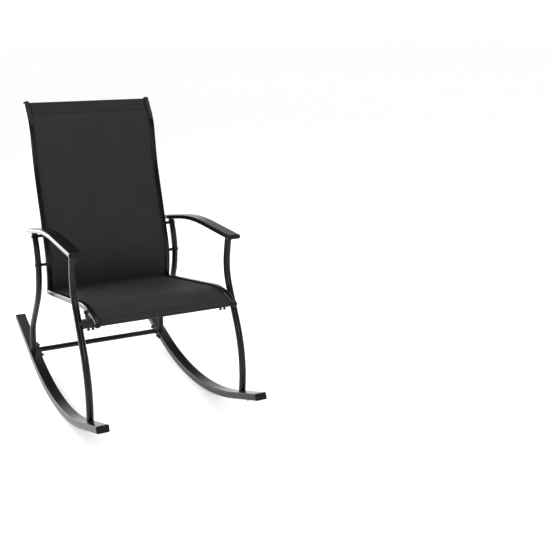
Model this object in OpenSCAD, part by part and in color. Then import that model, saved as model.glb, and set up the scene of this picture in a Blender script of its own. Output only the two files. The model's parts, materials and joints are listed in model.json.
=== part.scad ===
// Sling rocking chair: two bent-tube side frames on curved runners, and a fabric sling held between
// two slotted rails. Millimetres, +Z up, the sitter faces -Y, left and right are the sitter's.
// The origin is on the floor, under the centre of the chair's bounding box.

/* [Side frames] */
// Distance from the chair's centre plane to each side frame
frame_x = 290; // [285:1:310]
// Outside diameter of the leg tubes
leg_d = 25; // [22:0.5:28]
// Wall thickness of the leg tubes
leg_wall = 1.5; // [1:0.1:2.5]

/* [Runners] */
// Radius of the rolling edge
runner_r = 1062.5; // [1042.5:2.5:1082.5]
// Width of the runner tube
runner_w = 44; // [36:1:48]
// Thickness of the runner tube
runner_t = 25; // [20:0.5:28]
// Wall thickness of the runner tube
runner_wall = 1.5; // [1:0.1:2.5]
// Slope of the straight front end
front_slope = 21.75; // [20.5:0.25:23]
// Slope of the straight rear end
rear_slope = 18.25; // [17.25:0.25:19.25]
// Length of the straight front end
front_tail = 206; // [180:2:240]
// Length of the straight rear end
rear_tail = 264; // [230:2:300]
// Lip of the plastic end plugs
plug_lip = 3; // [2:0.5:5]

/* [Armrests] */
// Width of the armrest tube
arm_w = 50; // [40:1:60]
// Thickness of the armrest tube
arm_t = 16; // [14:0.5:18]
// Wall thickness of the armrest tube
arm_wall = 1.5; // [1:0.1:2.5]

/* [Sling rails] */
// Distance from the chair's centre plane to each rail
rail_x = 251; // [245:1:255]
// Side of the square rail extrusion
rail_s = 20; // [19:0.5:21]
// Wall thickness of the rail
rail_wall = 1.5; // [1:0.1:2]
// Diameter of the round caps on the rail ends
cap_d = 24; // [20:0.5:24]

/* [Sling] */
// Thickness of the woven sling
sling_t = 1.5; // [1:0.1:2]
// Gap between the sling's edge and the rail that it is drawn beside
sling_gap = 0.4; // [0.3:0.1:1]

/* [Cross members] */
// Depth of the front cross tube, front to back
front_bar_y = 25; // [20:1:28]
// Height of the front cross tube
front_bar_z = 28; // [24:1:30]
// Diameter of the rear cross bar
rear_bar_d = 22; // [16:1:22]
// Diameter of the bowed tubes that spread the rails
spreader_d = 14; // [13:0.5:14]
// Diameter of the straight tube behind the seat corner
corner_bar_d = 16; // [14:0.5:16]
// Wall thickness of the cross tubes
spreader_wall = 1.5; // [1:0.1:2]
// Bow of the tube behind the back at mid span
back_bow = 20; // [12:1:26]
// Bow of the tube under the seat at mid span
seat_bow = 12; // [8:1:14]

/* [Fasteners] */
// Thread diameter of every bolt
bolt_d = 6; // [5:1:6]
// Clearance added to the diameter of a bolt hole
bolt_clearance = 0.5; // [0.3:0.1:0.8]

/* [Hidden] */
$fn = 48;
// How far a straight runs into a bend, and how much fuller the bend is, so that the two join.
lap = 0.3;
bend_swell = 0.02;

STEEL = [0.07, 0.07, 0.075];
PLASTIC = [0.04, 0.04, 0.04];
FABRIC = [0.17, 0.17, 0.17];
ZINC = [0.15, 0.15, 0.16];

// A path is a list of [back, up, bend radius]: the corners of a bent tube in side view, measured
// from the point where the runners touch the floor. The radius is that of the bend at the corner.
total_slope = front_slope + rear_slope;
runner_mid_r = runner_r - runner_t / 2;
runner_corner_r = runner_mid_r / cos(total_slope / 2);
corner_slope = (rear_slope - front_slope) / 2;
RUNNER = [
    [-runner_mid_r * sin(front_slope) - front_tail * cos(front_slope),
     runner_r - runner_mid_r * cos(front_slope) + front_tail * sin(front_slope), 0],
    [runner_corner_r * sin(corner_slope), runner_r - runner_corner_r * cos(corner_slope), runner_mid_r],
    [runner_mid_r * sin(rear_slope) + rear_tail * cos(rear_slope),
     runner_r - runner_mid_r * cos(rear_slope) + rear_tail * sin(rear_slope), 0]
];
FRONT_LEG = [[-433.5, 64.5, 0], [-468.5, 232.5, 430], [-293, 548.5, 200], [-310.5, 702.5, 0]];
REAR_LEG = [[351, 48.5, 0], [349, 179.5, 135], [147.5, 447, 250], [240.5, 662.5, 0]];
ARM = [[-350, 686.5, 0], [-15, 686.5, 1000], [255, 624.5, 0]];
SEAT_CORNER = [184.5, 384.5, 0];
SEAT_RAIL = [[-440, 466.5, 0], [-351.5, 499, 290], SEAT_CORNER];
BACK_RAIL = [SEAT_CORNER, [169, 487.5, 310], [308, 852.5, 620], [342.5, 1019.5, 155], [404.5, 1100.5, 0]];
// The sling turns the corner on a small radius, and stops short of the rails' ends.
sling_corner_r = 8;
sling_inset = 6;
SLING = [
    beyond(SEAT_RAIL[1], SEAT_RAIL[0], -sling_inset), SEAT_RAIL[1],
    [SEAT_CORNER[0], SEAT_CORNER[1], sling_corner_r],
    BACK_RAIL[1], BACK_RAIL[2], BACK_RAIL[3], beyond(BACK_RAIL[3], BACK_RAIL[4], -sling_inset)
];

// The bounding box runs from plug to plug, so the origin lies midway between their lower corners.
front_reach = runner_r * sin(front_slope) + (front_tail + plug_lip) * cos(front_slope);
rear_reach = runner_r * sin(rear_slope) + (rear_tail + plug_lip) * cos(rear_slope);
mid_y = (rear_reach - front_reach) / 2;

// Rail section: n is measured towards the sling's face and w away from the chair's centre plane.
half_s = rail_s / 2;
slot_n = 4.5;
slot_w = -5.5;
slot_h = 2;
pocket_r = 3.2;
spline_d = 5;
core_split_n = 0.3;
core_split_w = -1;

hole_d = bolt_d + bolt_clearance;
head_d = 11;
head_t = 3;
socket_d = 4.6;
socket_depth = 1.8;
nut_d = 11.5;
nut_t = 5;

front_bar_at = [-352.5, 443];
rear_bar_along = 24;
rear_bar_above = 1.5;
flange_t = 4;
flange_l = 88;
flange_h = 22;
crossbar_bolt_pitch = 66;
BACK_BOLTS = [[216.5, 609], [183.5, 501]];
seat_spreader_at = [-344.5, 481.5];
back_bolt_l = 50;
insert_d = 8.4;
insert_l = 9;
BRACKET_BOLTS_X = [241, 257];
bracket_t = 3;
sleeve_l = 7.5;
// The tube behind the top hem lies this far down from the rails' ends and behind their centre line.
back_spreader_down = 30;
back_spreader_behind = 4;
pad_at = 100;
pad_d = 12;
pad_h = 6;

// Heading of the line from a to b, in degrees.
function heading(a, b) = atan2(b[1] - a[1], b[0] - a[0]);
function span(a, b) = norm([b[0] - a[0], b[1] - a[1]]);
function wrap(angle) = angle - 360 * round(angle / 360);
function turn(path, i) = wrap(heading(path[i], path[i + 1]) - heading(path[i - 1], path[i]));
function is_bend(path, i) = i > 0 && i < len(path) - 1;
// Length of straight that the bend at corner i takes from each side of it.
function setback(path, i) = is_bend(path, i) ? path[i][2] * tan(abs(turn(path, i)) / 2) : 0;
function last(path) = path[len(path) - 1];
// Square end of a path, carried on past b by a distance on the line from a.
function beyond(a, b, reach) = [b[0] + reach * cos(heading(a, b)), b[1] + reach * sin(heading(a, b)), 0];
function bend_centre(path, i) =
    let (angle = heading(path[i - 1], path[i]), side = sign(turn(path, i)) * path[i][2])
    [
        path[i][0] - setback(path, i) * cos(angle) - side * sin(angle),
        path[i][1] - setback(path, i) * sin(angle) + side * cos(angle)
    ];
// Point a distance along the runner's straight rear end, on the tube's centre line.
function on_rear_tail(along) = [
    runner_mid_r * sin(rear_slope) + along * cos(rear_slope),
    runner_r - runner_mid_r * cos(rear_slope) + along * sin(rear_slope)
];

// Centre of the rear cross bar, a little above that line.
function rear_bar_centre() =
    on_rear_tail(rear_bar_along) + rear_bar_above * [-sin(rear_slope), cos(rear_slope)];

// Stands a side view, drawn with X to the back and Y up, at a distance x from the centre plane.
module upright(x) {
    translate([x, -mid_y, 0]) rotate([90, 0, 90]) children();
}

module other_side() {
    mirror([1, 0, 0]) children();
}

module both_sides() {
    children();
    other_side() children();
}

// Turns a section (n across the path, w along X) into the plane square to a heading.
module section_facing(angle) {
    rotate([0, 0, angle]) rotate([90, 0, 90]) children();
}

// Straight stretch of a path from corner i to corner i + 1, with the 2-D section given as child.
// It runs a little way into the bends at its ends.
module straight(path, i) {
    angle = heading(path[i], path[i + 1]);
    start = setback(path, i) - (is_bend(path, i) ? lap : 0);
    end = span(path[i], path[i + 1]) - setback(path, i + 1) + (is_bend(path, i + 1) ? lap : 0);
    $swell = 0;
    translate([path[i][0], path[i][1], 0]) rotate([0, 0, angle]) translate([start, 0, 0])
        rotate([90, 0, 90]) linear_extrude(end - start) children();
}

// Bend at corner i of a path, with the same section. A bend is slightly fuller than a straight.
module bend(path, i) {
    angle_in = heading(path[i - 1], path[i]);
    swing = turn(path, i);
    r = path[i][2];
    centre = bend_centre(path, i);
    $swell = bend_swell;
    if (swing > 0) {
        translate(centre) rotate([0, 0, angle_in - 90]) rotate_extrude(angle = swing, $fn = 180)
            translate([r, 0]) mirror([1, 0]) children();
    } else {
        translate(centre) rotate([0, 0, angle_in + 90 + swing]) rotate_extrude(angle = -swing, $fn = 180)
            translate([r, 0]) children();
    }
}

module sweep(path) {
    for (i = [0:len(path) - 2]) straight(path, i) children();
    for (i = [1:1:len(path) - 2]) bend(path, i) children();
}

// Puts children that point along +Z on the first or last end of a path, facing out of it.
module on_first_end(path) {
    translate([path[0][0], path[0][1], 0]) rotate([0, 0, heading(path[0], path[1])])
        mirror([1, 0, 0]) rotate([90, 0, 90]) children();
}

module on_last_end(path) {
    translate([last(path)[0], last(path)[1], 0])
        section_facing(heading(path[len(path) - 2], last(path))) children();
}

module round_rect(x, y, r) {
    square([x - 2 * r, y], center = true);
    square([x, y - 2 * r], center = true);
    for (sx = [-1, 1]) for (sy = [-1, 1])
        translate([sx * (x / 2 - r), sy * (y / 2 - r)]) circle(r);
}

module rod_section(d) {
    circle(d = d + 2 * $swell);
}

module tube_section(d, wall) {
    difference() {
        rod_section(d);
        circle(d = d - 2 * wall - 2 * $swell);
    }
}

module rect_tube_section(x, y, r, wall) {
    inset = 2 * wall + 2 * $swell;
    difference() {
        round_rect(x + 2 * $swell, y + 2 * $swell, r);
        round_rect(x - inset, y - inset, r - wall);
    }
}

// Disc, rod or bore along +X from x, centred on [back, up].
module along_x(at, x, length, d) {
    translate([x, at[0] - mid_y, at[1]]) rotate([0, 90, 0]) cylinder(h = length, d = d);
}

// Everything above or below a line through a point, as a block as wide as the chair's side.
module below_line(at, angle) {
    translate([at[0], at[1], 0]) rotate([0, 0, angle]) translate([-500, -500, -100]) cube([1000, 500, 200]);
}

module above_line(at, angle) {
    translate([at[0], at[1], 0]) rotate([0, 0, angle]) translate([-500, 0, -100]) cube([1000, 500, 200]);
}

runner_corner = 4;

module runner() {
    difference() {
        upright(frame_x) sweep(RUNNER) rect_tube_section(runner_t, runner_w, runner_corner, runner_wall);
        for (side = [-1, 1])
            along_x(on_rear_tail(rear_bar_along + side * crossbar_bolt_pitch / 2),
                frame_x - runner_w / 2 - 1, 2 * runner_wall + 2, hole_d);
    }
}

// Plug for a rectangular tube: a lip that covers the wall and a stub inside it.
module tube_plug(x, y, corner, wall) {
    clear = 0.15;
    linear_extrude(plug_lip) round_rect(x, y, corner);
    translate([0, 0, -15]) linear_extrude(15)
        round_rect(x - 2 * wall - 2 * clear, y - 2 * wall - 2 * clear, corner - wall - clear);
}

module runner_plug() {
    tube_plug(runner_t, runner_w, runner_corner, runner_wall);
}

module runner_front_plug() {
    upright(frame_x) on_first_end(RUNNER) runner_plug();
}

module runner_rear_plug() {
    upright(frame_x) on_last_end(RUNNER) runner_plug();
}

// Rubber stop under the front end of a runner.
module runner_pad() {
    upright(frame_x) on_first_end(RUNNER) translate([-runner_t / 2, 0, -pad_at])
        rotate([0, -90, 0]) cylinder(h = pad_h, d = pad_d);
}

// A leg runs from the top face of the runner to the underside of the armrest.
module leg(path) {
    difference() {
        sweep(path) tube_section(leg_d, leg_wall);
        leg_trim_low(path);
        leg_trim_high(path);
    }
}

module leg_trim_low(path) {
    front = path[0][0] < 0;
    end = front ? RUNNER[0] : last(RUNNER);
    angle = front ? -front_slope : rear_slope;
    below_line([end[0] - runner_t / 2 * sin(angle), end[1] + runner_t / 2 * cos(angle)], angle);
}

module leg_trim_high(path) {
    front = path[0][0] < 0;
    end = front ? ARM[0] : last(ARM);
    angle = front ? heading(ARM[0], ARM[1]) : heading(ARM[1], ARM[2]);
    above_line([end[0] + arm_t / 2 * sin(angle), end[1] - arm_t / 2 * cos(angle)], angle);
}

module front_leg() {
    upright(frame_x) leg(FRONT_LEG);
}

module rear_leg() {
    difference() {
        upright(frame_x) leg(REAR_LEG);
        for (at = BACK_BOLTS) along_x(at, frame_x - leg_d, 2 * leg_d, hole_d);
    }
}

arm_corner = 6;

module armrest() {
    upright(frame_x) sweep(ARM) rect_tube_section(arm_t, arm_w, arm_corner, arm_wall);
}

module arm_plug() {
    tube_plug(arm_t, arm_w, arm_corner, arm_wall);
}

module armrest_front_plug() {
    upright(frame_x) on_first_end(ARM) arm_plug();
}

module armrest_rear_plug() {
    upright(frame_x) on_last_end(ARM) arm_plug();
}

// Hollow of the rail beside the slot, shrunk by a margin.
module rail_core(margin) {
    low = -half_s + rail_wall + margin;
    high = half_s - rail_wall - margin;
    polygon([
        [low, low], [core_split_n - margin, low], [core_split_n - margin, core_split_w + margin],
        [high, core_split_w + margin], [high, high], [low, high]
    ]);
}

module rail_section() {
    difference() {
        round_rect(rail_s + 2 * $swell, rail_s + 2 * $swell, 4);
        rail_core($swell);
        translate([slot_n, slot_w]) circle(pocket_r - $swell);
        translate([slot_n - slot_h / 2 + $swell, -half_s - 1])
            square([slot_h - 2 * $swell, half_s + 1 + slot_w]);
    }
}

// The two rails meet on the line that halves the angle between them.
mitre_angle = (heading(SEAT_CORNER, SEAT_RAIL[1]) + heading(SEAT_CORNER, BACK_RAIL[1])) / 2;
mitre_reach = 20;

// Rail paths carried on past the seat corner, to be cut on that line.
SEAT_RAIL_LONG = [SEAT_RAIL[0], SEAT_RAIL[1], beyond(SEAT_RAIL[1], SEAT_CORNER, mitre_reach)];
BACK_RAIL_LONG = [
    beyond(BACK_RAIL[1], SEAT_CORNER, mitre_reach), BACK_RAIL[1], BACK_RAIL[2], BACK_RAIL[3], BACK_RAIL[4]
];

module seat_rail() {
    difference() {
        upright(rail_x) difference() {
            sweep(SEAT_RAIL_LONG) rail_section();
            above_line(SEAT_CORNER, mitre_angle + 180);
        }
        along_x(seat_spreader_at, rail_x - rail_s, 2 * rail_s, hole_d);
    }
}

module back_rail() {
    difference() {
        upright(rail_x) difference() {
            sweep(BACK_RAIL_LONG) rail_section();
            below_line(SEAT_CORNER, mitre_angle + 180);
        }
        for (at = BACK_BOLTS) along_x(at, rail_x + half_s - 2, 4, insert_d);
    }
}

// Domed cap with a stub that fills the hollow of the rail.
module rail_cap() {
    cap_rim = 2.5;
    dome_r = 16;
    dome_drop = sqrt(dome_r * dome_r - cap_d * cap_d / 4);
    cylinder(h = cap_rim, d = cap_d);
    translate([0, 0, cap_rim]) intersection() {
        translate([0, 0, -dome_drop]) sphere(dome_r);
        cylinder(h = cap_d, d = cap_d);
    }
    translate([0, 0, -12]) linear_extrude(12) rail_core(0.15);
}

module rail_front_cap() {
    upright(rail_x) on_first_end(SEAT_RAIL) rail_cap();
}

module rail_top_cap() {
    upright(rail_x) on_last_end(BACK_RAIL) rail_cap();
}

module spline_section() {
    translate([slot_n, slot_w]) rod_section(spline_d);
}

module seat_spline() {
    upright(rail_x) difference() {
        sweep(SEAT_RAIL) spline_section();
        above_line([SEAT_CORNER[0] - 8, SEAT_CORNER[1]], mitre_angle + 180);
    }
}

module back_spline() {
    upright(rail_x) difference() {
        sweep(BACK_RAIL) spline_section();
        below_line([SEAT_CORNER[0], SEAT_CORNER[1] + 10], mitre_angle + 180);
    }
}

// One cloth for seat and back.
module sling() {
    half_w = rail_x - half_s - sling_gap;
    color(FABRIC) upright(0) sweep(SLING)
        translate([slot_n - sling_t / 2 - $swell, -half_w - $swell])
            square([sling_t + 2 * $swell, 2 * half_w + 2 * $swell]);
}

// Round tube between the rails, bowed away from the sling.
module bowed_bar(at, angle, bow) {
    half_l = rail_x - half_s;
    bow_r = (half_l * half_l + bow * bow) / (2 * bow);
    reach = asin(half_l / bow_r) + 1;
    translate([0, at[0] - mid_y, at[1]]) rotate([angle, 0, 0]) intersection() {
        translate([0, 0, bow_r - bow]) rotate([90, 0, 0]) rotate([0, 0, 270 - reach])
            rotate_extrude(angle = 2 * reach, $fn = 180) translate([bow_r, 0])
                tube_section(spreader_d, spreader_wall, $swell = 0);
        translate([-half_l, -50, -50]) cube([2 * half_l, 100, 100]);
    }
}

module seat_spreader() {
    color(STEEL) bowed_bar(seat_spreader_at, 0, seat_bow);
}

module back_spreader() {
    angle = heading(BACK_RAIL[3], BACK_RAIL[4]);
    below_end = beyond(BACK_RAIL[3], BACK_RAIL[4], -back_spreader_down);
    at = [
        below_end[0] + back_spreader_behind * sin(angle),
        below_end[1] - back_spreader_behind * cos(angle)
    ];
    color(STEEL) bowed_bar(at, angle, back_bow);
}

module corner_bar() {
    half_l = rail_x - half_s;
    at = [SEAT_CORNER[0] + 2.6, SEAT_CORNER[1] - 3];
    color(STEEL) difference() {
        along_x(at, -half_l, 2 * half_l, corner_bar_d);
        along_x(at, -half_l - 1, 2 * half_l + 2, corner_bar_d - 2 * spreader_wall);
    }
}

module front_cross_tube() {
    length = 2 * frame_x;
    color(STEEL) difference() {
        translate([-length / 2, front_bar_at[0] - mid_y, front_bar_at[1]]) rotate([90, 0, 90])
            linear_extrude(length)
                rect_tube_section(front_bar_y, front_bar_z, 3, spreader_wall, $swell = 0);
        both_sides() upright(frame_x) sweep(FRONT_LEG) rod_section(leg_d);
        both_sides() for (x = BRACKET_BOLTS_X)
            translate([x, front_bar_at[0] - mid_y, front_bar_at[1] - front_bar_z])
                cylinder(h = 2 * front_bar_z, d = hole_d);
    }
}

bracket_x = [233, 264];
bracket_z = front_bar_at[1] + front_bar_z / 2;

// Channel that stands on the front cross tube and carries the seat rail on its two webs. The rear web
// is notched round the bowed tube under the seat.
module seat_bracket() {
    length = bracket_x[1] - bracket_x[0];
    y = front_bar_at[0] - mid_y;
    difference() {
        translate([bracket_x[0], y - front_bar_y / 2, bracket_z]) cube([length, front_bar_y, 24]);
        translate([bracket_x[0] - 1, y - front_bar_y / 2 + bracket_t, bracket_z + bracket_t])
            cube([length + 2, front_bar_y - 2 * bracket_t, 30]);
        upright(rail_x) sweep(SEAT_RAIL) square([rail_s, length + 10], center = true);
        along_x(seat_spreader_at, bracket_x[0] - 1, length + 2, spreader_d + 1);
        for (x = BRACKET_BOLTS_X) translate([x, y, bracket_z - 1]) cylinder(h = 10, d = hole_d);
    }
}

module rear_crossbar() {
    half_l = frame_x - runner_w / 2 - flange_t;
    color(STEEL) difference() {
        along_x(rear_bar_centre(), -half_l, 2 * half_l, rear_bar_d);
        along_x(rear_bar_centre(), -half_l - 1, 2 * half_l + 2, rear_bar_d - 2 * spreader_wall);
    }
}

// Plate on the end of the rear cross bar, bolted to the inner side of the runner.
module crossbar_flange() {
    difference() {
        upright(frame_x - runner_w / 2 - flange_t)
            translate(concat(on_rear_tail(rear_bar_along), 0)) rotate([0, 0, rear_slope])
                linear_extrude(flange_t) round_rect(flange_l, flange_h, 5);
        for (side = [-1, 1])
            along_x(on_rear_tail(rear_bar_along + side * crossbar_bolt_pitch / 2),
                frame_x - runner_w / 2 - flange_t - 1, flange_t + 2, hole_d);
    }
}

module button_head() {
    dome_r = 8;
    dome_drop = dome_r - head_t;
    difference() {
        intersection() {
            translate([0, 0, -dome_drop]) sphere(dome_r);
            cylinder(h = head_t, d = head_d);
        }
        translate([0, 0, head_t - socket_depth]) cylinder(h = socket_depth + 1, d = socket_d, $fn = 6);
    }
}

// Hex head with a round boss on it.
module collared_head() {
    cylinder(h = 5, d = 12.5, $fn = 6);
    cylinder(h = 8, d = 9);
}

module hex_nut(thickness) {
    difference() {
        cylinder(h = thickness, d = nut_d, $fn = 6);
        translate([0, 0, -1]) cylinder(h = thickness + 2, d = bolt_d);
    }
}

module back_bolt_set() {
    head_x = frame_x + leg_d / 2;
    for (at = BACK_BOLTS) translate([head_x, at[0] - mid_y, at[1]]) {
        rotate([0, 90, 0]) button_head();
        rotate([0, -90, 0]) cylinder(h = back_bolt_l, d = bolt_d);
    }
}

module back_spacer_set() {
    low = rail_x + half_s;
    difference() {
        for (at = BACK_BOLTS) along_x(at, low, frame_x - low, 12);
        for (at = BACK_BOLTS) along_x(at, low - 1, frame_x - low + 2, hole_d);
        upright(frame_x) sweep(REAR_LEG) rod_section(leg_d);
    }
}

module back_insert_set() {
    for (at = BACK_BOLTS) difference() {
        along_x(at, rail_x + half_s - insert_l, insert_l, insert_d - 0.2);
        along_x(at, rail_x + half_s - insert_l - 1, insert_l + 2, bolt_d);
    }
}

// Threaded plug pressed into the end of the bowed tube under the seat.
module spreader_insert_set() {
    insert_x = rail_x - half_s - 10;
    difference() {
        along_x([seat_spreader_at[0], seat_spreader_at[1] - 0.5], insert_x, 10,
            spreader_d - 2 * spreader_wall - 1.5);
        along_x(seat_spreader_at, insert_x - 1, 12, bolt_d);
    }
}

module bracket_bolt_set() {
    top = bracket_z + bracket_t + nut_t + 2;
    low = front_bar_at[1] - front_bar_z / 2 - sleeve_l;
    for (x = BRACKET_BOLTS_X) translate([x, front_bar_at[0] - mid_y, low]) {
        cylinder(h = top - low, d = bolt_d);
        translate([0, 0, -4]) cylinder(h = 4, d = nut_d, $fn = 6);
    }
}

module bracket_sleeve_set() {
    low = front_bar_at[1] - front_bar_z / 2 - sleeve_l;
    for (x = BRACKET_BOLTS_X) translate([x, front_bar_at[0] - mid_y, low]) difference() {
        cylinder(h = sleeve_l, d = 8.5);
        translate([0, 0, -1]) cylinder(h = sleeve_l + 2, d = hole_d);
    }
}

module bracket_nut_set() {
    for (x = BRACKET_BOLTS_X) translate([x, front_bar_at[0] - mid_y, bracket_z + bracket_t]) hex_nut(nut_t);
}

module spreader_screw_set() {
    head_x = rail_x + half_s;
    translate([head_x, seat_spreader_at[0] - mid_y, seat_spreader_at[1]]) {
        rotate([0, 90, 0]) cylinder(h = 8, d = 12);
        rotate([0, -90, 0]) cylinder(h = rail_s + 11, d = bolt_d);
    }
}

module crossbar_bolt_set() {
    head_x = frame_x - runner_w / 2 - flange_t;
    for (side = [-1, 1]) {
        at = on_rear_tail(rear_bar_along + side * crossbar_bolt_pitch / 2);
        along_x(at, head_x, 16, bolt_d);
        translate([head_x, at[0] - mid_y, at[1]]) rotate([0, -90, 0]) collared_head();
    }
}

module crossbar_nut_set() {
    inner = frame_x - runner_w / 2 + runner_wall;
    for (side = [-1, 1]) {
        at = on_rear_tail(rear_bar_along + side * crossbar_bolt_pitch / 2);
        translate([inner, at[0] - mid_y, at[1]]) rotate([0, 90, 0]) hex_nut(nut_t);
    }
}

module runner_left() { color(STEEL) runner(); }
module runner_right() { color(STEEL) other_side() runner(); }
module runner_front_plug_left() { color(PLASTIC) runner_front_plug(); }
module runner_front_plug_right() { color(PLASTIC) other_side() runner_front_plug(); }
module runner_rear_plug_left() { color(PLASTIC) runner_rear_plug(); }
module runner_rear_plug_right() { color(PLASTIC) other_side() runner_rear_plug(); }
module runner_pads() { color(PLASTIC) both_sides() runner_pad(); }
module front_leg_left() { color(STEEL) front_leg(); }
module front_leg_right() { color(STEEL) other_side() front_leg(); }
module rear_leg_left() { color(STEEL) rear_leg(); }
module rear_leg_right() { color(STEEL) other_side() rear_leg(); }
module armrest_left() { color(STEEL) armrest(); }
module armrest_right() { color(STEEL) other_side() armrest(); }
module armrest_front_plug_left() { color(PLASTIC) armrest_front_plug(); }
module armrest_front_plug_right() { color(PLASTIC) other_side() armrest_front_plug(); }
module armrest_rear_plug_left() { color(PLASTIC) armrest_rear_plug(); }
module armrest_rear_plug_right() { color(PLASTIC) other_side() armrest_rear_plug(); }
module back_rail_left() { color(STEEL) back_rail(); }
module back_rail_right() { color(STEEL) other_side() back_rail(); }
module seat_rail_left() { color(STEEL) seat_rail(); }
module seat_rail_right() { color(STEEL) other_side() seat_rail(); }
module rail_top_cap_left() { color(PLASTIC) rail_top_cap(); }
module rail_top_cap_right() { color(PLASTIC) other_side() rail_top_cap(); }
module rail_front_cap_left() { color(PLASTIC) rail_front_cap(); }
module rail_front_cap_right() { color(PLASTIC) other_side() rail_front_cap(); }
module back_spline_left() { color(PLASTIC) back_spline(); }
module back_spline_right() { color(PLASTIC) other_side() back_spline(); }
module seat_spline_left() { color(PLASTIC) seat_spline(); }
module seat_spline_right() { color(PLASTIC) other_side() seat_spline(); }
module seat_bracket_left() { color(STEEL) seat_bracket(); }
module seat_bracket_right() { color(STEEL) other_side() seat_bracket(); }
module crossbar_flange_left() { color(STEEL) crossbar_flange(); }
module crossbar_flange_right() { color(STEEL) other_side() crossbar_flange(); }
module back_bolts() { color(ZINC) both_sides() back_bolt_set(); }
module back_spacers() { color(PLASTIC) both_sides() back_spacer_set(); }
module back_inserts() { color(ZINC) both_sides() back_insert_set(); }
module bracket_bolts() { color(ZINC) both_sides() bracket_bolt_set(); }
module bracket_sleeves() { color(PLASTIC) both_sides() bracket_sleeve_set(); }
module bracket_nuts() { color(ZINC) both_sides() bracket_nut_set(); }
module spreader_screws() { color(ZINC) both_sides() spreader_screw_set(); }
module spreader_inserts() { color(ZINC) both_sides() spreader_insert_set(); }
module crossbar_bolts() { color(ZINC) both_sides() crossbar_bolt_set(); }
module crossbar_nuts() { color(ZINC) both_sides() crossbar_nut_set(); }

runner_left();
runner_right();
runner_front_plug_left();
runner_front_plug_right();
runner_rear_plug_left();
runner_rear_plug_right();
runner_pads();
front_leg_left();
front_leg_right();
rear_leg_left();
rear_leg_right();
armrest_left();
armrest_right();
armrest_front_plug_left();
armrest_front_plug_right();
armrest_rear_plug_left();
armrest_rear_plug_right();
back_rail_left();
back_rail_right();
seat_rail_left();
seat_rail_right();
rail_top_cap_left();
rail_top_cap_right();
rail_front_cap_left();
rail_front_cap_right();
back_spline_left();
back_spline_right();
seat_spline_left();
seat_spline_right();
sling();
back_spreader();
corner_bar();
seat_spreader();
front_cross_tube();
seat_bracket_left();
seat_bracket_right();
rear_crossbar();
crossbar_flange_left();
crossbar_flange_right();
back_bolts();
back_spacers();
back_inserts();
bracket_bolts();
bracket_sleeves();
bracket_nuts();
spreader_screws();
spreader_inserts();
crossbar_bolts();
crossbar_nuts();
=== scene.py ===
import json
import math

import bmesh
import bpy
from mathutils import Matrix, Vector


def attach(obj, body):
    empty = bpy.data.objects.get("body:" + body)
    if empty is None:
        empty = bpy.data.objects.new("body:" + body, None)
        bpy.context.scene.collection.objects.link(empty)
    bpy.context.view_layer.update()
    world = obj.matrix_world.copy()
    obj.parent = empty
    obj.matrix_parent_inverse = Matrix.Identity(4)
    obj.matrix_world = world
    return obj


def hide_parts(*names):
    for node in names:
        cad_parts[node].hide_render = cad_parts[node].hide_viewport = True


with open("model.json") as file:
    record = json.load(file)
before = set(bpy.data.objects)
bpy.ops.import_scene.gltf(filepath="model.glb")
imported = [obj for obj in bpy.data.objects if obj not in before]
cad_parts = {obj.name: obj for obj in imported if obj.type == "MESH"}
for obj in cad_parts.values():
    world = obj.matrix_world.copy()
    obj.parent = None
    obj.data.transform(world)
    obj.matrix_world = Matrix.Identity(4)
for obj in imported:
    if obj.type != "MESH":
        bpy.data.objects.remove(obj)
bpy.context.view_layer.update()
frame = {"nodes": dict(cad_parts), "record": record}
nodes = frame["nodes"]

# ---------------------------------------------------------------- camera and light

PICTURE_PX = 550.0
LENS_PX = 816.57
SENSOR_MM = 36.0
SHIFT_X_PX, SHIFT_Y_PX = 75.0, -5.0
AZIMUTH, ELEVATION, ROLL = -24.9, 17.54, 0.434
CAMERA_AT = (-1.0006, -2.8475, 1.4497)


def make_camera():
    a, e, r = (math.radians(v) for v in (AZIMUTH, ELEVATION, ROLL))
    forward = Vector((-math.sin(a) * math.cos(e), math.cos(a) * math.cos(e), -math.sin(e)))
    level = Vector((math.cos(a), math.sin(a), 0.0))
    up = level.cross(forward)
    right = level * math.cos(r) + up * math.sin(r)
    top = up * math.cos(r) - level * math.sin(r)
    data = bpy.data.cameras.new("camera")
    data.sensor_width = SENSOR_MM
    data.lens = LENS_PX * SENSOR_MM / PICTURE_PX
    data.shift_x = SHIFT_X_PX / PICTURE_PX
    data.shift_y = SHIFT_Y_PX / PICTURE_PX
    data.dof.use_dof = False
    camera = bpy.data.objects.new("camera", data)
    bpy.context.scene.collection.objects.link(camera)
    turn = Matrix((right, top, -forward)).transposed().to_4x4()
    camera.matrix_world = Matrix.Translation(CAMERA_AT) @ turn
    bpy.context.scene.camera = camera


def area_light(name, at, aim, size, watts, tall=None):
    data = bpy.data.lights.new(name, "AREA")
    data.shape = "RECTANGLE"
    data.size = size
    data.size_y = tall or size
    data.energy = watts
    light = bpy.data.objects.new(name, data)
    bpy.context.scene.collection.objects.link(light)
    light.location = at
    light.rotation_euler = (Vector(aim) - Vector(at)).to_track_quat("-Z", "Y").to_euler()
    light.visible_camera = False


def sun_light(name, towards, watts, spread):
    data = bpy.data.lights.new(name, "SUN")
    data.energy = watts
    data.angle = math.radians(spread)
    light = bpy.data.objects.new(name, data)
    bpy.context.scene.collection.objects.link(light)
    light.rotation_euler = Vector(towards).to_track_quat("-Z", "Y").to_euler()


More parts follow.
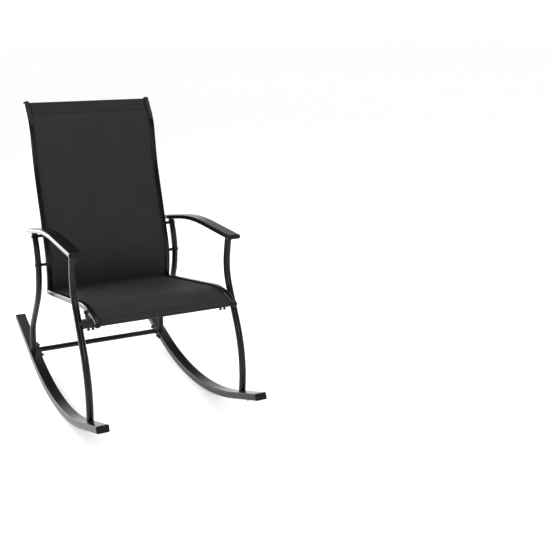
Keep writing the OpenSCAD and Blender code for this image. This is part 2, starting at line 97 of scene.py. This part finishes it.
def make_world():
    """White at the horizon, so that the floor runs into it, and a dim grey studio above."""
    world = bpy.data.worlds.new("studio")
    bpy.context.scene.world = world
    world.use_nodes = True
    nt = world.node_tree
    coords = nt.nodes.new("ShaderNodeTexCoord")
    parts = nt.nodes.new("ShaderNodeSeparateXYZ")
    nt.links.new(coords.outputs["Generated"], parts.inputs[0])
    sky = colour_ramp(nt, parts.outputs["Z"], [
        (0.0, (1.0, 1.0, 1.0)),
        (0.17, (1.0, 1.0, 1.0)),
        (0.34, (0.1, 0.101, 0.103)),
        (1.0, (0.13, 0.131, 0.134)),
    ])
    nt.links.new(sky, nt.nodes["Background"].inputs["Color"])
    nt.nodes["Background"].inputs["Strength"].default_value = 1.0


def make_stage():
    """White floor that glows a little, so that only soft shadows show on it, and the lamps."""
    bpy.context.scene.view_settings.view_transform = "Standard"
    make_world()
    mesh = bpy.data.meshes.new("floor")
    floor = bpy.data.objects.new("floor", mesh)
    bpy.context.scene.collection.objects.link(floor)
    bm = bmesh.new()
    bmesh.ops.create_grid(bm, x_segments=8, y_segments=8, size=30.0)
    bm.to_mesh(mesh)
    bm.free()
    floor.location = (0.0, 0.0, -0.0006)
    mat, nt, shader = new_material("floor_paper")
    speck = add(nt, "ShaderNodeTexNoise", {"Scale": 3.0, "Detail": 2.0})
    ramp = colour_ramp(nt, speck.outputs["Fac"], [(0.3, (0.87, 0.87, 0.875)), (0.7, (0.89, 0.89, 0.895))])
    nt.links.new(ramp, shader.inputs["Base Color"])
    shader.inputs["Roughness"].default_value = 0.9
    shader.inputs["Specular IOR Level"].default_value = 0.1
    floor.data.materials.append(mat)
    shader.inputs["Emission Color"].default_value = (1.0, 1.0, 1.0, 1.0)
    shader.inputs["Emission Strength"].default_value = 0.35
    sun_light("overhead", (-0.08, 0.10, -1.0), 1.75, 80.0)
    area_light("back_left_box", (-1.0, 2.3, 1.1), (-0.3, 0.0, 0.7), 0.9, 40.0, tall=2.1)
    area_light("left_box", (-2.4, 2.0, 1.1), (0.0, 0.0, 0.6), 1.2, 95.0, tall=2.1)
    area_light("front_box", (-0.5, -3.2, 1.9), (0.0, 0.0, 0.7), 0.8, 18.0)
    area_light("right_box", (2.8, 0.7, 1.2), (0.0, 0.0, 0.6), 0.9, 38.0, tall=2.0)


# ---------------------------------------------------------------- materials


def new_material(name):
    mat = bpy.data.materials.new(name)
    mat.use_nodes = True
    return mat, mat.node_tree, mat.node_tree.nodes["Principled BSDF"]


def add(nt, kind, values=None, **settings):
    node = nt.nodes.new(kind)
    for key, value in settings.items():
        setattr(node, key, value)
    for key, value in (values or {}).items():
        node.inputs[key].default_value = value
    return node


def colour_ramp(nt, socket, stops):
    ramp = nt.nodes.new("ShaderNodeValToRGB")
    elements = ramp.color_ramp.elements
    while len(elements) < len(stops):
        elements.new(0.5)
    for element, (at, colour) in zip(elements, stops):
        element.position = at
        element.color = (*colour, 1.0)
    nt.links.new(socket, ramp.inputs["Fac"])
    return ramp.outputs["Color"]


def value_range(nt, socket, low, high):
    node = nt.nodes.new("ShaderNodeMapRange")
    node.inputs["To Min"].default_value = low
    node.inputs["To Max"].default_value = high
    nt.links.new(socket, node.inputs["Value"])
    return node.outputs["Result"]


def object_coords(nt):
    return nt.nodes.new("ShaderNodeTexCoord").outputs["Object"]


def noise(nt, coords, scale, detail=3.0, roughness=0.5):
    node = add(nt, "ShaderNodeTexNoise", {"Scale": scale, "Detail": detail, "Roughness": roughness})
    nt.links.new(coords, node.inputs["Vector"])
    return node.outputs["Fac"]


def bump(nt, height, distance, strength, below=None):
    node = add(nt, "ShaderNodeBump", {"Strength": strength, "Distance": distance})
    nt.links.new(height, node.inputs["Height"])
    if below is not None:
        nt.links.new(below, node.inputs["Normal"])
    return node.outputs["Normal"]


def powder_coat():
    """Satin black powder coat: orange peel, a fine grain, and slow changes in gloss."""
    mat, nt, shader = new_material("powder_coat_black")
    at = object_coords(nt)
    tone = noise(nt, at, 9.0, 4.0)
    nt.links.new(colour_ramp(nt, tone, [(0.25, (0.004, 0.004, 0.0043)), (0.75, (0.0065, 0.0065, 0.007))]),
                 shader.inputs["Base Color"])
    nt.links.new(value_range(nt, noise(nt, at, 26.0, 3.0), 0.17, 0.26), shader.inputs["Roughness"])
    peel = bump(nt, noise(nt, at, 420.0, 2.0), 0.0004, 0.10)
    grain = bump(nt, noise(nt, at, 2300.0, 2.0), 0.0001, 0.12, peel)
    nt.links.new(grain, shader.inputs["Normal"])
    shader.inputs["Specular IOR Level"].default_value = 0.26
    return mat


def moulded_plastic():
    """Matt black moulded plastic with a fine spark-eroded grain."""
    mat, nt, shader = new_material("moulded_plastic_black")
    at = object_coords(nt)
    tone = colour_ramp(nt, noise(nt, at, 60.0), [(0.3, (0.006, 0.006, 0.0062)), (0.7, (0.011, 0.011, 0.0113))])
    nt.links.new(tone, shader.inputs["Base Color"])
    nt.links.new(value_range(nt, noise(nt, at, 150.0), 0.48, 0.62), shader.inputs["Roughness"])
    nt.links.new(bump(nt, noise(nt, at, 1800.0, 2.0), 0.0002, 0.25), shader.inputs["Normal"])
    shader.inputs["Specular IOR Level"].default_value = 0.15
    return mat


def pad_rubber():
    """Dull black rubber of the stops under the runners."""
    mat, nt, shader = new_material("pad_rubber_black")
    at = object_coords(nt)
    tone = colour_ramp(nt, noise(nt, at, 300.0), [(0.3, (0.02, 0.02, 0.02)), (0.7, (0.034, 0.033, 0.032))])
    nt.links.new(tone, shader.inputs["Base Color"])
    nt.links.new(value_range(nt, noise(nt, at, 700.0), 0.7, 0.86), shader.inputs["Roughness"])
    nt.links.new(bump(nt, noise(nt, at, 1500.0), 0.0003, 0.3), shader.inputs["Normal"])
    return mat


def black_zinc():
    """Black zinc plating on bolts and nuts, with fine turning marks."""
    mat, nt, shader = new_material("black_zinc")
    at = object_coords(nt)
    tone = colour_ramp(nt, noise(nt, at, 240.0), [(0.3, (0.022, 0.022, 0.024)), (0.7, (0.045, 0.045, 0.048))])
    nt.links.new(tone, shader.inputs["Base Color"])
    nt.links.new(value_range(nt, noise(nt, at, 500.0), 0.25, 0.45), shader.inputs["Roughness"])
    nt.links.new(bump(nt, noise(nt, at, 1600.0), 0.0001, 0.2), shader.inputs["Normal"])
    shader.inputs["Metallic"].default_value = 0.6
    return mat


def maths(nt, operation, a, b=None, c=None):
    node = nt.nodes.new("ShaderNodeMath")
    node.operation = operation
    for i, value in enumerate((a, b, c)):
        if value is None:
            continue
        if isinstance(value, (int, float)):
            node.inputs[i].default_value = value
        else:
            nt.links.new(value, node.inputs[i])
    return node.outputs[0]


YARN_PITCH_M = 0.0017
OPENING = 0.21  # leaves about 2 percent of the cloth open between the yarns


def woven_mesh(name, holes=True, tone=1.0):
    """Coated yarn woven one over one, with painted highlight on the yarn crowns and painted shade between and
    under the yarns. UV is in metres: u across the cloth, v along it.
    """
    mat, nt, shader = new_material(name)
    uv = nt.nodes.new("ShaderNodeUVMap")
    uv.uv_map = "cloth"
    parts = nt.nodes.new("ShaderNodeSeparateXYZ")
    nt.links.new(uv.outputs["UV"], parts.inputs[0])
    u = maths(nt, "DIVIDE", parts.outputs[0], YARN_PITCH_M)
    v = maths(nt, "DIVIDE", parts.outputs[1], YARN_PITCH_M)
    across_u = maths(nt, "ABSOLUTE", maths(nt, "SINE", maths(nt, "MULTIPLY", u, math.pi)))
    across_v = maths(nt, "ABSOLUTE", maths(nt, "SINE", maths(nt, "MULTIPLY", v, math.pi)))
    # over is 1 where the lengthwise yarn is on top and 0 where the crosswise one is
    parity = maths(nt, "ADD", maths(nt, "FLOOR", u), maths(nt, "FLOOR", v))
    over = maths(nt, "PINGPONG", parity, 1.0)
    under = maths(nt, "SUBTRACT", 1.0, over)
    long_yarn = maths(nt, "MULTIPLY", across_u, maths(nt, "MULTIPLY_ADD", over, 0.45, 0.55))
    cross_yarn = maths(nt, "MULTIPLY", across_v, maths(nt, "MULTIPLY_ADD", under, 0.45, 0.55))
    height = maths(nt, "MAXIMUM", long_yarn, cross_yarn)
    at = object_coords(nt)
    tint = noise(nt, at, 14.0, 5.0, 0.6)
    streak = add(nt, "ShaderNodeTexNoise", {"Scale": 1.0, "Detail": 2.0})
    stretch = add(nt, "ShaderNodeMapping", {"Scale": (900.0, 12.0, 1.0)})
    nt.links.new(uv.outputs["UV"], stretch.inputs["Vector"])
    nt.links.new(stretch.outputs["Vector"], streak.inputs["Vector"])
    yarn = maths(nt, "MULTIPLY_ADD", streak.outputs["Fac"], 0.35, maths(nt, "MULTIPLY", tint, 0.3))
    # painted highlight and painted shade: the base colour is paler on the yarn crowns and on the yarn lying on
    # top, and darker between and under the yarns, added to the yarn's own streaks and tint
    painted_crown_light_and_yarn_tone = maths(nt, "MULTIPLY_ADD", height, 0.6, yarn)
    dark = tuple(c * tone for c in (0.009, 0.009, 0.0092))
    pale = tuple(c * tone for c in (0.030, 0.0301, 0.0306))
    nt.links.new(colour_ramp(nt, painted_crown_light_and_yarn_tone, [(0.25, dark), (1.0, pale)]), shader.inputs["Base Color"])
    nt.links.new(value_range(nt, tint, 0.5, 0.66), shader.inputs["Roughness"])
    nt.links.new(bump(nt, height, 0.0004, 0.55), shader.inputs["Normal"])
    shader.inputs["Specular IOR Level"].default_value = 0.06
    if holes:
        gap = maths(nt, "MAXIMUM", across_u, across_v)
        nt.links.new(maths(nt, "GREATER_THAN", gap, OPENING), shader.inputs["Alpha"])
    return mat


def thread():
    """Twisted black polyester thread, kept darker than the cloth so that the stitch rows also carry painted
    shade for the shadow line under the hem's edge.
    """
    mat, nt, shader = new_material("polyester_thread_painted_shade")
    at = object_coords(nt)
    twist = add(nt, "ShaderNodeTexWave", {"Scale": 900.0, "Distortion": 1.0}, bands_direction="DIAGONAL")
    nt.links.new(at, twist.inputs["Vector"])
    # painted shade: the thread is darker than the cloth so that the stitch rows draw the shadow line below the
    # hem's edge, on top of the thread's own black
    tone = colour_ramp(nt, twist.outputs["Fac"], [(0.2, (0.006, 0.006, 0.0062)), (0.8, (0.014, 0.014, 0.0145))])
    nt.links.new(tone, shader.inputs["Base Color"])
    nt.links.new(bump(nt, twist.outputs["Fac"], 0.0002, 0.4), shader.inputs["Normal"])
    shader.inputs["Roughness"].default_value = 0.6
    return mat


def weld_paint():
    """The powder coat as it lies over a weld bead: a little rougher and thicker."""
    mat, nt, shader = new_material("powder_coat_weld")
    at = object_coords(nt)
    tone = colour_ramp(nt, noise(nt, at, 200.0), [(0.3, (0.008, 0.008, 0.0085)), (0.7, (0.015, 0.015, 0.016))])
    nt.links.new(tone, shader.inputs["Base Color"])
    nt.links.new(value_range(nt, noise(nt, at, 300.0), 0.3, 0.45), shader.inputs["Roughness"])
    nt.links.new(bump(nt, noise(nt, at, 900.0), 0.0004, 0.35), shader.inputs["Normal"])
    return mat


# ---------------------------------------------------------------- side-view paths, as in the CAD

MM = 0.001
MID_Y = 1.1126  # shift from the CAD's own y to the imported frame's, in mm
FRAME_X = 290.0
RAIL_X, RAIL_HALF = 251.0, 10.0
RAIL_FACE = RAIL_X - RAIL_HALF
SLOT_N = 4.5
CLOTH_HALF = 243.0
HEM_HALF = 240.4
STITCH_HALF = 238.0
LEG_R = 12.5
SLING_PATH = [
    (-440.0, 466.5, 0.0), (-351.5, 499.0, 290.0), (184.5, 384.5, 8.0), (169.0, 487.5, 310.0),
    (308.0, 852.5, 620.0), (342.5, 1019.5, 155.0), (404.5, 1100.5, 0.0),
]
FRONT_LEG = [(-433.5, 64.5, 0.0), (-468.5, 232.5, 430.0), (-293.0, 548.5, 200.0), (-310.5, 702.5, 0.0)]
REAR_LEG = [(351.0, 48.5, 0.0), (349.0, 179.5, 135.0), (147.5, 447.0, 250.0), (240.5, 662.5, 0.0)]
FRONT_INSET, TOP_INSET = 5.0, 1.0


def bent_line(corners, step):
    """Points, headings and lengths along a path of (back, up, bend radius) corners, in mm."""
    pts = [Vector(c[:2]) for c in corners]
    out = [(pts[0], (pts[1] - pts[0]).normalized())]

    def straight(a, b):
        length = (b - a).length
        direction = (b - a).normalized()
        for k in range(1, max(1, math.ceil(length / step)) + 1):
            out.append((a.lerp(b, k / max(1, math.ceil(length / step))), direction))

    here = pts[0]
    for i in range(1, len(pts) - 1):
        d0 = (pts[i] - pts[i - 1]).normalized()
        d1 = (pts[i + 1] - pts[i]).normalized()
        swing = math.atan2(d0.x * d1.y - d0.y * d1.x, d0.dot(d1))
        r = corners[i][2]
        back = r * math.tan(abs(swing) / 2)
        side = 1.0 if swing > 0 else -1.0
        start = pts[i] - d0 * back
        straight(here, start)
        centre = start + side * r * Vector((-d0.y, d0.x))
        count = max(4, math.ceil(abs(swing) * r / step), math.ceil(abs(swing) / math.radians(9)))
        for k in range(1, count + 1):
            t = swing * k / count
            spin = Matrix.Rotation(t, 2)
            out.append((centre + spin @ (start - centre), spin @ d0))
        here = pts[i] + d1 * back
    straight(here, pts[-1])
    line, travelled = [], 0.0
    for k, (p, d) in enumerate(out):
        if k:
            travelled += (p - out[k - 1][0]).length
        line.append((p, d, travelled))
    return line


def place(x, p):
    """Row-frame point in metres for x and a side-view point, both in mm."""
    return Vector((x * MM, (p.x - MID_Y) * MM, p.y * MM))


def new_object(name, bm, material):
    mesh = bpy.data.meshes.new(name)
    bm.to_mesh(mesh)
    bm.free()
    mesh.materials.append(material)
    for face in mesh.polygons:
        face.use_smooth = True
    obj = bpy.data.objects.new(name, mesh)
    bpy.context.scene.collection.objects.link(obj)
    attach(obj, "root")
    return obj


# ---------------------------------------------------------------- the sling


def sling_line(step=7.0):
    """Middle surface of the cloth in side view: rail path moved to the slot, cut short of the ends."""
    line = bent_line(SLING_PATH, step)
    total = line[-1][2]
    first, last = line[0], line[-1]
    kept = [(first[0] + first[1] * FRONT_INSET, first[1], 0.0)]
    kept += [(p, d, s) for p, d, s in line if FRONT_INSET + 1.0 < s < total - TOP_INSET - 1.0]
    kept += [(last[0] - last[1] * TOP_INSET, last[1], 0.0)]
    out, travelled, before = [], 0.0, None
    for p, d, _ in kept:
        q = p + SLOT_N * Vector((-d.y, d.x))
        if before is not None:
            travelled += (q - before).length
        out.append((q, Vector((-d.y, d.x)), travelled))
        before = q
    return out


def cloth_offset(x, s, total):
    """How far the stretched cloth lies below its flat line: a slight sag and a few pull lines."""
    across = 1.0 - (x / RAIL_FACE) ** 2
    seat = math.exp(-(((s - 330.0) / 230.0) ** 2))
    back = math.exp(-(((s - 1050.0) / 260.0) ** 2))
    sag = -(3.2 * seat + 2.2 * back) * max(0.0, across)
    ends = min(1.0, s / 40.0, (total - s) / 40.0)
    pull = 0.22 * math.sin(s / 47.0 + 1.7 * math.sin(x / 61.0)) * max(0.0, across) ** 0.5
    return (sag + pull) * max(0.0, ends)


def make_sling(material):
    line = sling_line()
    total = line[-1][2]
    columns = 45
    xs = [-CLOTH_HALF + 2 * CLOTH_HALF * k / (columns - 1) for k in range(columns)]
    bm = bmesh.new()
    uv = bm.loops.layers.uv.new("cloth")
    rows = []
    for q, n, s in line:
        rows.append([bm.verts.new(place(x, q + n * cloth_offset(x, s, total))) for x in xs])
    for i in range(len(rows) - 1):
        for j in range(columns - 1):
            face = bm.faces.new((rows[i][j], rows[i][j + 1], rows[i + 1][j + 1], rows[i + 1][j]))
            for loop, (a, b) in zip(face.loops, ((i, j), (i, j + 1), (i + 1, j + 1), (i + 1, j))):
                loop[uv].uv = (xs[b] * MM, line[a][2] * MM)
    obj = new_object("sling_cloth", bm, material)
    solid = obj.modifiers.new("thickness", "SOLIDIFY")
    solid.thickness = 0.0009
    solid.offset = 0.0
    solid.use_rim = True
    return obj, line, total


def make_hem(name, line, total, at_start, band, material):
    """The folded end of the cloth: two layers with a round fold at the edge."""
    if at_start:
        part = [(q, n, s) for q, n, s in line if s <= band]
    else:
        part = [(q, n, total - s) for q, n, s in reversed(line) if total - s <= band]
    half_t = 0.95
    fold = part[0]
    d = (part[0][0] - part[1][0]).normalized()

    def layer(sign):
        """One face of the hem, pressed thinner over its last 3 mm."""
        return [(q + n * (sign * half_t * (1.0 if s < band - 3.0 else 0.72)), s) for q, n, s in part]

    # along one face to the fold, round it, and back along the other face
    profile = list(reversed(layer(1.0)))
    for k in range(1, 8):
        t = math.pi * k / 8
        profile.append((fold[0] + fold[1] * (half_t * math.cos(t)) + d * (half_t * 1.1 * math.sin(t)), -1.0))
    profile += layer(-1.0)
    columns = 61
    xs = [-HEM_HALF + 2 * HEM_HALF * k / (columns - 1) for k in range(columns)]
    bm = bmesh.new()
    uv = bm.loops.layers.uv.new("cloth")
    sign = 1.0 if at_start else -1.0
    base = 0.0 if at_start else total
    grid, lengths, run = [], [], 0.0
    for k, (p, s) in enumerate(profile):
        if k:
            run += (p - profile[k - 1][0]).length
        lengths.append(run)
        row = []
        for x in xs:
            ripple = 0.10 * math.sin(x / 7.3 + 0.9 * math.sin(x / 23.0))
            lift = ripple + cloth_offset(x, base + sign * max(s, 0.0), total)
            row.append(bm.verts.new(place(x, p + fold[1] * lift)))
        grid.append(row)
    n_rows = len(grid)
    for i in range(n_rows):
        j2 = (i + 1) % n_rows
        for j in range(columns - 1):
            face = bm.faces.new((grid[i][j], grid[i][j + 1], grid[j2][j + 1], grid[j2][j]))
            for loop, (a, b) in zip(face.loops, ((i, j), (i, j + 1), (j2, j + 1), (j2, j))):
                v = lengths[a] if not (i == n_rows - 1 and a == j2) else lengths[-1] + 1.3
                loop[uv].uv = (xs[b] * MM, v * MM + 0.3)
    for j in (0, columns - 1):
        ring = [row[j] for row in grid]
        face = bm.faces.new(ring if j else list(reversed(ring)))
        for loop in face.loops:
            loop[uv].uv = (loop.vert.co.y, loop.vert.co.z)
    bmesh.ops.recalc_face_normals(bm, faces=bm.faces)
    return new_object(name, bm, material)


def line_at(line, s):
    """Point and normal of the cloth's middle line at a distance along it."""
    for k in range(1, len(line)):
        if line[k][2] >= s:
            a, b = line[k - 1], line[k]
            t = (s - a[2]) / (b[2] - a[2])
            return a[0].lerp(b[0], t), a[1].lerp(b[1], t).normalized()
    return line[-1][0], line[-1][1]


def make_stitches(name, line, total, rows_at, material):
    """Lock stitches across the cloth: short bars of thread, both faces, in rows at distances rows_at."""
    bm = bmesh.new()
    pitch, length, radius = 3.6, 2.9, 0.36
    count = int(2 * STITCH_HALF / pitch)
    for row, s in enumerate(rows_at):
        q, n = line_at(line, s)
        for face_side in (1.0, -1.0):
            for k in range(count):
                x = -STITCH_HALF + pitch * (k + 0.5 + 0.25 * (row % 2))
                lean = 0.12 * math.sin(k * 1.9 + row)
                base = q + n * (cloth_offset(x, s, total) + face_side * 0.98)
                rings = []
                for t, r in ((-0.5, 0.35), (-0.32, 1.0), (0.32, 1.0), (0.5, 0.35)):
                    dip = -0.45 if abs(t) == 0.5 else 0.0
                    centre = base + n * (face_side * dip) + Vector((-n.y, n.x)) * (-lean * t * 2)
                    ring = []
                    for m in range(5):
                        a = 2 * math.pi * m / 5
                        out = n * (radius * r * math.cos(a))
                        p = centre + out + Vector((n.y, -n.x)) * (radius * r * math.sin(a))
                        ring.append(bm.verts.new(place(x + length * t, p)))
                    rings.append(ring)
                for a, b in zip(rings, rings[1:]):
                    for m in range(5):
                        bm.faces.new((a[m], a[(m + 1) % 5], b[(m + 1) % 5], b[m]))
                bm.faces.new(list(reversed(rings[0])))
                bm.faces.new(rings[-1])
    bmesh.ops.recalc_face_normals(bm, faces=bm.faces)
    return new_object(name, bm, material)


# ---------------------------------------------------------------- weld beads


def bead(bm, points, radius):
    """A closed ring of overlapping weld ripples along row-frame points in metres."""
    count = len(points)
    rings = []
    for k, p in enumerate(points):
        tangent = (points[(k + 1) % count] - points[(k - 1) % count]).normalized()
        side = tangent.orthogonal().normalized()
        up = tangent.cross(side)
        r = radius * (1.0 + 0.13 * math.sin(k * 2.0 * math.pi / 3.0))
        rings.append([bm.verts.new(p + side * (r * math.cos(a)) + up * (r * math.sin(a)))
                      for a in (2 * math.pi * m / 8 for m in range(8))])
    for k in range(count):
        a, b = rings[k], rings[(k + 1) % count]
        # match the ring's start so that the strip doesn't twist
        shift = min(range(8), key=lambda s: (a[0].co - b[s].co).length)
        for m in range(8):
            bm.faces.new((a[m], a[(m + 1) % 8], b[(m + 1 + shift) % 8], b[(m + shift) % 8]))


def ring_on_plane(x, at, axis_deg, plane_deg, radius, count):
    """Where a round tube meets a plane at a side-view point, both square to the side view."""
    axis = Vector((math.cos(math.radians(axis_deg)), math.sin(math.radians(axis_deg))))
    cross = Vector((-axis.y, axis.x))
    plane = Vector((-math.sin(math.radians(plane_deg)), math.cos(math.radians(plane_deg))))
    points = []
    for k in range(count):
        t = 2 * math.pi * k / count
        off = cross * (radius * math.sin(t))
        along = -off.dot(plane) / axis.dot(plane)
        points.append(place(x + radius * math.cos(t), at + off + axis * along))
    return points


def ring_round_x(x, at, radius, count):
    return [place(x, at + Vector((radius * math.cos(t), radius * math.sin(t))))
            for t in (2 * math.pi * k / count for k in range(count))]


def make_welds(material):
    bm = bmesh.new()
    for side in (-1.0, 1.0):
        x = side * FRAME_X
        for at, axis_deg, plane_deg, lift in LEG_ENDS:
            centre = Vector(at)
            normal = Vector((-math.sin(math.radians(plane_deg)), math.cos(math.radians(plane_deg))))
            bead(bm, ring_on_plane(x, centre + normal * lift, axis_deg, plane_deg, LEG_R + 0.6, 42), 0.0022)
        bead(bm, ring_round_x(side * 263.6, Vector(REAR_BAR), 11.4, 36), 0.0015)
        bead(bm, ring_round_x(side * 240.6, Vector(CORNER_BAR), 8.3, 30), 0.0014)
        bead(bm, ring_round_x(side * 240.6, Vector(BACK_SPREADER), 7.2, 30), 0.0013)
    return new_object("weld_beads", bm, material)


RUNNER_R, RUNNER_T = 1062.5, 25.0
FRONT_SLOPE, REAR_SLOPE = 21.75, 18.25


def runner_top(y):
    """Height and slope of the runner's top face at y, in mm and degrees."""
    r = RUNNER_R - RUNNER_T
    front, rear = math.radians(FRONT_SLOPE), math.radians(REAR_SLOPE)
    if y < -r * math.sin(front):
        y0, z0 = -r * math.sin(front), RUNNER_R - r * math.cos(front)
        return z0 + (y0 - y) * math.tan(front), -FRONT_SLOPE
    if y > r * math.sin(rear):
        y0, z0 = r * math.sin(rear), RUNNER_R - r * math.cos(rear)
        return z0 + (y - y0) * math.tan(rear), REAR_SLOPE
    return RUNNER_R - math.sqrt(r * r - y * y), math.degrees(math.asin(y / r))


ARM_BEND = (-15.0, 686.5)
ARM_REAR = (255.0, 624.5)
ARM_HALF_T = 8.0


def arm_under(y):
    """Height and slope of the armrest's underside at its straight stretches."""
    if y < -60.0:
        return ARM_BEND[1] - ARM_HALF_T, 0.0
    slope = math.atan2(ARM_REAR[1] - ARM_BEND[1], ARM_REAR[0] - ARM_BEND[0])
    return ARM_REAR[1] - ARM_HALF_T / math.cos(slope) + (y - ARM_REAR[0]) * math.tan(slope), math.degrees(slope)


def leg_end(path, height, lift):
    """Where a leg's centre line crosses a face of height(y), with both headings there."""
    line = bent_line(path, 2.0)
    for (a, _, _), (b, heading, _) in zip(line, line[1:]):
        if (a.y > height(a.x)[0]) != (b.y > height(b.x)[0]):
            at = a.lerp(b, 0.5)
            return at, math.degrees(math.atan2(heading.y, heading.x)), height(at.x)[1], lift


LEG_ENDS = [
    leg_end(FRONT_LEG, runner_top, 0.4), leg_end(REAR_LEG, runner_top, 0.4),
    leg_end(FRONT_LEG, arm_under, -0.4), leg_end(REAR_LEG, arm_under, -0.4),
]
MID_R = RUNNER_R - RUNNER_T / 2
REAR_TILT = math.radians(REAR_SLOPE)
BAR_ALONG, BAR_ABOVE = 24.0, 1.5
REAR_BAR = (
    MID_R * math.sin(REAR_TILT) + BAR_ALONG * math.cos(REAR_TILT) - BAR_ABOVE * math.sin(REAR_TILT),
    RUNNER_R - MID_R * math.cos(REAR_TILT) + BAR_ALONG * math.sin(REAR_TILT) + BAR_ABOVE * math.cos(REAR_TILT),
)
CORNER_BAR = (187.1, 381.5)
BACK_SPREADER = (389.44, 1074.25)

# ---------------------------------------------------------------- build

make_camera()
make_stage()

coat = powder_coat()
by_slot = {
    "frame_metal": coat,
    "plug_plastic": moulded_plastic(),
    "pad_rubber": pad_rubber(),
    "bolt_steel": black_zinc(),
}
for entry in frame["record"]["subparts"]:
    if entry["material_slot"] in by_slot:
        obj = nodes[entry["node"]]
        for slot in obj.material_slots:
            slot.material = by_slot[entry["material_slot"]]

cloth_mat = woven_mesh("woven_mesh_open", tone=1.5)
hem_mat = woven_mesh("woven_mesh_double", holes=False, tone=1.35)
thread_and_hem_shade_mat = thread()
cloth, cloth_line, cloth_length = make_sling(cloth_mat)
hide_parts("sling")
TOP_BAND, FRONT_BAND = 57.0, 24.0
top_hem = make_hem("sling_hem_top", cloth_line, cloth_length, False, TOP_BAND, hem_mat)
front_hem = make_hem("sling_hem_front", cloth_line, cloth_length, True, FRONT_BAND, hem_mat)
# the dark thread of these rows also serves as painted shade for the shadow line under the hems
stitches = make_stitches(
    "sling_stitches", cloth_line, cloth_length,
    [cloth_length - TOP_BAND + 4.0, cloth_length - TOP_BAND + 7.5, FRONT_BAND - 4.0], thread_and_hem_shade_mat)

welds = make_welds(weld_paint())
